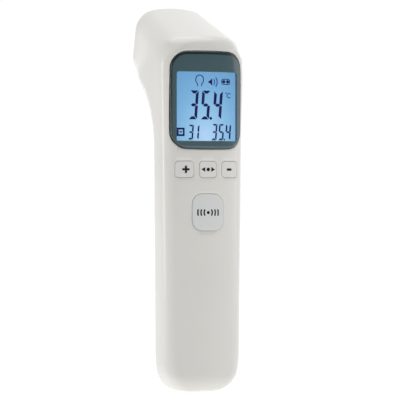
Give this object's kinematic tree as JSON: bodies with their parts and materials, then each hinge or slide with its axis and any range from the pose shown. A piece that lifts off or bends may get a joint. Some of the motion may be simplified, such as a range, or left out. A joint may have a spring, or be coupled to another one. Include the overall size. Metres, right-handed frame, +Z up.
{
  "type": "infrared forehead thermometer",
  "caption": "Hand-held no-contact thermometer with a rounded grip, lit display, press keys, hinged battery cover and a sensor recess in its angled nose.",
  "frame": {"origin": "on the flat foot, under the middle of the grip", "axes": "+Z up the grip, the display faces -Y, the sensor looks towards +Y and a little up, X is the width"},
  "size_m": [0.0354, 0.042, 0.1519],
  "materials": {
    "casing_plastic": "fine satin moulded texture",
    "key_plastic": "satin",
    "scan_key_plastic": "satin",
    "bezel_gloss": "high gloss",
    "window_clear": "clear gloss",
    "display": "lit behind glass",
    "light_guide": "frosted",
    "white_frame": "satin",
    "contact_rubber": "matt",
    "circuit_board": "solder mask",
    "chip_black": "matt",
    "component_tan": "matt",
    "steel": "bright zinc",
    "contact_metal": "nickel plated",
    "switch_plastic": "satin",
    "plunger_plastic": "satin",
    "tray_plastic": "satin",
    "cell_jacket": "printed foil",
    "nose_plastic": "satin",
    "mirror_cone": "polished",
    "holder_brass": "turned",
    "can_metal": "plated",
    "infrared_window": "polished silicon",
    "ribbon_plastic": "satin"
  },
  "bodies": {
    "casing": {"front_shell": "casing_plastic", "rear_shell": "casing_plastic", "display_bezel": "bezel_gloss", "display_window": "window_clear", "lcd_panel": "display", "backlight_guide": "light_guide", "lcd_frame": "white_frame", "contact_strip": "contact_rubber", "main_board": "circuit_board", "controller_chip": "chip_black", "board_parts": "component_tan", "buzzer": "chip_black", "board_screws": "steel", "scan_switch": "switch_plastic", "plus_switch": "switch_plastic", "mode_switch": "switch_plastic", "minus_switch": "switch_plastic", "battery_tray": "tray_plastic", "battery_left": "cell_jacket", "battery_right": "cell_jacket", "bridge_contact": "contact_metal", "positive_contact": "contact_metal", "negative_contact": "contact_metal", "lower_spring": "contact_metal", "upper_spring": "contact_metal", "nose_ring": "nose_plastic", "sensor_cone": "mirror_cone", "sensor_housing": "nose_plastic", "sensor_holder": "holder_brass", "thermopile_can": "can_metal", "sensor_window": "infrared_window", "sensor_board": "circuit_board", "sensor_ribbon": "ribbon_plastic", "ribbon_socket": "white_frame", "shell_screws": "steel"},
    "battery_door": {"battery_cover": "casing_plastic"},
    "scan_button": {"scan_key": "scan_key_plastic", "scan_plunger": "plunger_plastic"},
    "plus_button": {"plus_key": "key_plastic", "plus_plunger": "plunger_plastic"},
    "mode_button": {"mode_key": "key_plastic", "mode_plunger": "plunger_plastic"},
    "minus_button": {"minus_key": "key_plastic", "minus_plunger": "plunger_plastic"}
  },
  "joints": [
    {"name": "scan_press", "type": "slide", "parent": "casing", "child": "scan_button", "axis": [0, 1, 0], "range_m": [0, 0.0004], "stiffness_N_per_m": 500, "springref_m": -0.0004},
    {"name": "plus_press", "type": "slide", "parent": "casing", "child": "plus_button", "axis": [0, 1, 0], "range_m": [0, 0.0004], "stiffness_N_per_m": 500, "springref_m": -0.0004},
    {"name": "mode_press", "type": "slide", "parent": "casing", "child": "mode_button", "axis": [0, 1, 0], "range_m": [0, 0.0004], "stiffness_N_per_m": 500, "springref_m": -0.0004},
    {"name": "minus_press", "type": "slide", "parent": "casing", "child": "minus_button", "axis": [0, 1, 0], "range_m": [0, 0.0004], "stiffness_N_per_m": 500, "springref_m": -0.0004},
    {"name": "door_hinge", "type": "hinge", "parent": "casing", "child": "battery_door", "pos_m": [0, 0.0109, 0.0093], "axis": [-1, 0, 0], "range_deg": [0, 55]}
  ]
}
